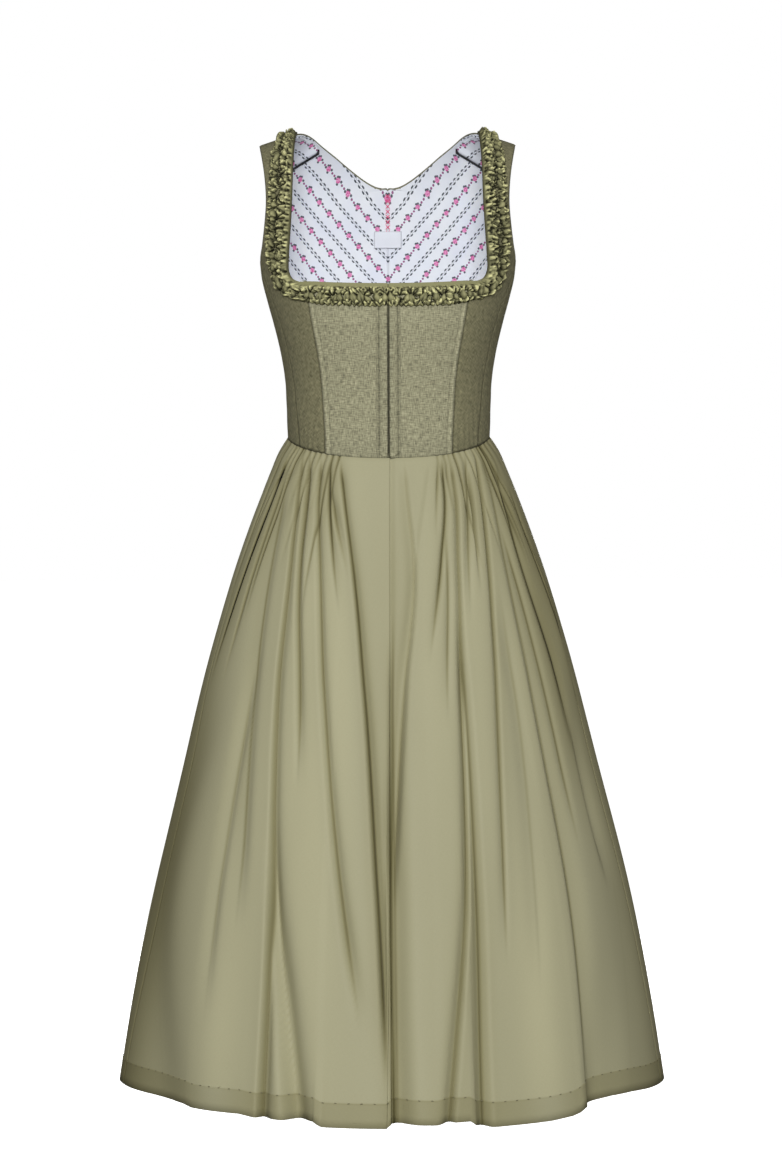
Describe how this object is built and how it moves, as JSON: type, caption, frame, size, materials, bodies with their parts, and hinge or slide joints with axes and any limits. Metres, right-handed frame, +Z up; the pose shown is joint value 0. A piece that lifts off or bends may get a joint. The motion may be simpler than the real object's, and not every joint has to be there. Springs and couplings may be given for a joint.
{
  "type": "dirndl dress",
  "caption": "Sleeveless midi dirndl dress, hollow as worn: fitted bodice with a square neck and wide straps, ruched neck trim, gathered skirt with a front lap and a side pocket.",
  "frame": {"origin": "midway between the tops of the two straps, where the wearer's shoulders hold the dress up", "axes": "+Z up, the front of the dress faces -Y, and +X is to the right as seen from the front (the wearer's left)"},
  "size_m": [0.6816, 0.622, 1.1926],
  "materials": {
    "bodice_cloth": "olive melange linen-like weave, matt",
    "bodice_side_cloth": "the same olive cloth cut off the grain, matt and a little darker",
    "printed_lining": "white cotton printed with rose and vine stripes, matt",
    "ruched_trim": "olive cloth ruched into rows of small folded petals, matt",
    "woven_label": "bare white woven label",
    "skirt_cloth": "fine sage cotton with a soft satin sheen"
  },
  "bodies": {
    "root": {"bodice_front_left": "bodice_cloth", "bodice_front_right": "bodice_cloth", "bodice_side_front_left": "bodice_side_cloth", "bodice_side_front_right": "bodice_side_cloth", "bodice_side_back_left": "bodice_side_cloth", "bodice_side_back_right": "bodice_side_cloth", "bodice_back_left": "bodice_cloth", "bodice_back_right": "bodice_cloth", "back_lining_left": "printed_lining", "back_lining_right": "printed_lining", "strap_lining_left": "printed_lining", "strap_lining_right": "printed_lining", "neck_trim_left": "ruched_trim", "neck_trim_right": "ruched_trim", "placket_left": "bodice_cloth", "placket_right": "bodice_cloth", "neck_label": "woven_label", "skirt_front_left": "skirt_cloth", "skirt_front_right": "skirt_cloth", "skirt_back_left": "skirt_cloth", "skirt_back_right": "skirt_cloth", "pocket_facing_right": "skirt_cloth"}
  },
  "joints": []
}
